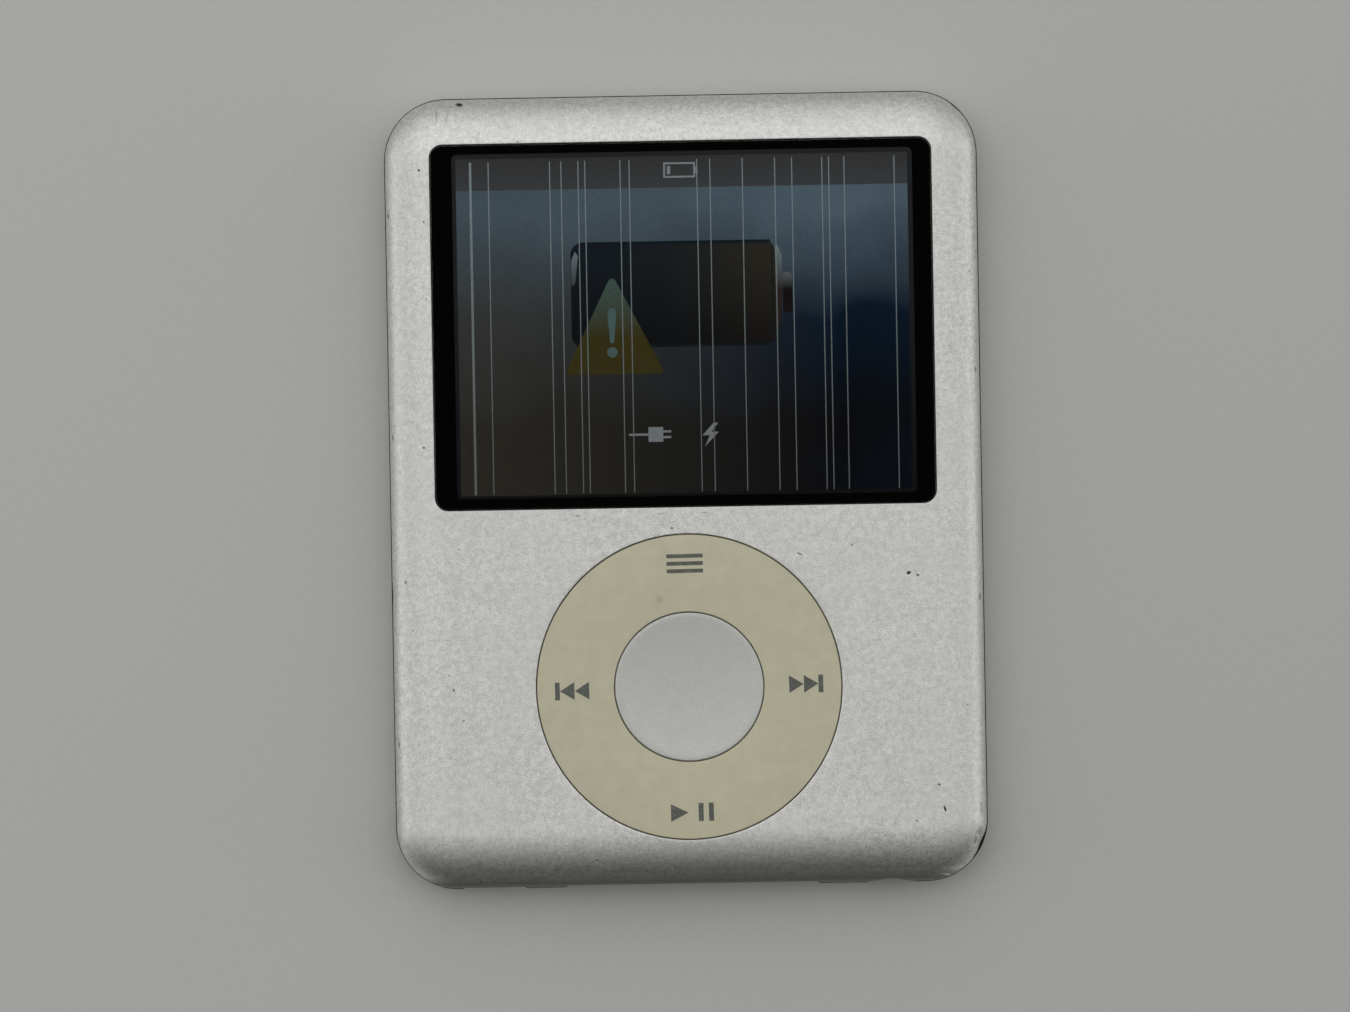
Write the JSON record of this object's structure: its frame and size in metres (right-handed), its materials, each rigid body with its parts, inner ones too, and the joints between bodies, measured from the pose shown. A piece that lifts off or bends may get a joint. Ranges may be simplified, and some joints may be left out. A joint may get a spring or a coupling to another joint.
{
  "type": "digital audio player",
  "caption": "Pocket digital audio player: anodised shell, steel back, display window, touch wheel that rocks, centre button, dock socket, headphone jack and hold switch.",
  "frame": {"origin": "middle of the flat back, on the surface the player lies on", "axes": "+Z out of the front face, +Y towards the display end, +X to the right as the front is seen"},
  "size_m": [0.0522, 0.0698, 0.0065],
  "materials": {
    "shell_anodised": "fine blasted anodised satin",
    "rear_steel": "mirror polished steel with fine scratches",
    "rail_steel": "plain pressed steel",
    "window_clear": "clear, glossy",
    "mask_black": "black printed border",
    "adhesive_grey": "thin tape",
    "gasket_foam": "soft foam",
    "display_film": "dark polarising film",
    "display_glass": "thin display glass",
    "chip_black": "moulded black resin",
    "film_white": "diffusing film",
    "guide_clear": "clear moulded",
    "lamp_white": "phosphor yellow",
    "tray_steel": "thin pressed steel",
    "flex_amber": "amber film",
    "wheel_ivory": "fine matt moulded",
    "button_grey": "fine satin",
    "plunger_white": "moulded",
    "board_green": "solder mask",
    "carrier_steel": "stamped",
    "spring_steel": "stamped spring steel",
    "dome_steel": "bright pressed",
    "frame_black": "glass filled moulding",
    "screw_steel": "zinc plated",
    "can_tin": "tinned",
    "capacitor_tan": "ceramic",
    "socket_cream": "moulded",
    "dock_steel": "plated",
    "dock_black": "moulded",
    "contact_gold": "gold plated",
    "jack_white": "moulded",
    "switch_black": "moulded",
    "slider_silver": "satin silver",
    "indicator_orange": "printed film",
    "battery_foil": "laminated pouch",
    "lead_red": "insulated wire",
    "film_amber": "insulating film"
  },
  "bodies": {
    "case": {"front_shell": "shell_anodised", "rear_cover": "rear_steel", "clip_rails": "rail_steel", "window_lens": "window_clear", "window_adhesive": "adhesive_grey", "window_mask": "mask_black", "display_gasket": "gasket_foam", "lcd_polariser": "display_film", "lcd_glass": "display_glass", "lcd_array_glass": "display_glass", "lcd_driver_chip": "chip_black", "backlight_films": "film_white", "light_guide": "guide_clear", "backlight_reflector": "film_white", "backlight_leds": "lamp_white", "backlight_tray": "tray_steel", "display_flex": "flex_amber", "spring_posts": "carrier_steel", "menu_play_domes": "dome_steel", "track_domes": "dome_steel", "select_dome": "dome_steel", "switch_board": "board_green", "wheel_flex": "flex_amber", "mid_frame": "frame_black", "frame_screws": "screw_steel", "board_screws": "screw_steel", "logic_board": "board_green", "processor_chip": "chip_black", "shield_can": "can_tin", "flash_memory_chip": "chip_black", "small_chips": "chip_black", "board_capacitors": "capacitor_tan", "display_connector": "socket_cream", "wheel_connector": "socket_cream", "dock_connector_shell": "dock_steel", "dock_connector_insert": "dock_black", "dock_contacts": "contact_gold", "jack_body": "jack_white", "jack_contacts": "contact_gold", "jack_flex": "flex_amber", "hold_switch_body": "switch_black", "hold_indicator": "indicator_orange", "hold_flex": "flex_amber", "battery_cell": "battery_foil", "battery_adhesive": "adhesive_grey", "battery_board": "board_green", "battery_leads": "lead_red", "rear_insulator": "film_amber"},
    "gimbal": {"wheel_spring": "spring_steel"},
    "wheel": {"wheel_cap": "wheel_ivory", "wheel_touch_board": "board_green", "wheel_carrier": "carrier_steel"},
    "button": {"centre_button": "button_grey", "button_plunger": "plunger_white"},
    "hold_knob": {"hold_slider": "slider_silver"}
  },
  "joints": [
    {"name": "menu_play_rock", "type": "hinge", "parent": "case", "child": "gimbal", "pos_m": [0, -0.01722, 0.0043], "axis": [1, 0, 0], "range_deg": [-0.8, 0.8], "stiffness_Nm_per_rad": 0.6, "deforming": ["menu_play_domes"]},
    {"name": "track_rock", "type": "hinge", "parent": "gimbal", "child": "wheel", "pos_m": [0, -0.01722, 0.0043], "axis": [0, 1, 0], "range_deg": [-0.8, 0.8], "stiffness_Nm_per_rad": 0.6, "deforming": ["track_domes"]},
    {"name": "select_press", "type": "slide", "parent": "case", "child": "button", "axis": [0, 0, -1], "range_m": [0, 0.00025], "stiffness_N_per_m": 1500, "deforming": ["select_dome"]},
    {"name": "hold_slide", "type": "slide", "parent": "case", "child": "hold_knob", "axis": [-1, 0, 0], "range_m": [0, 0.0024]}
  ]
}
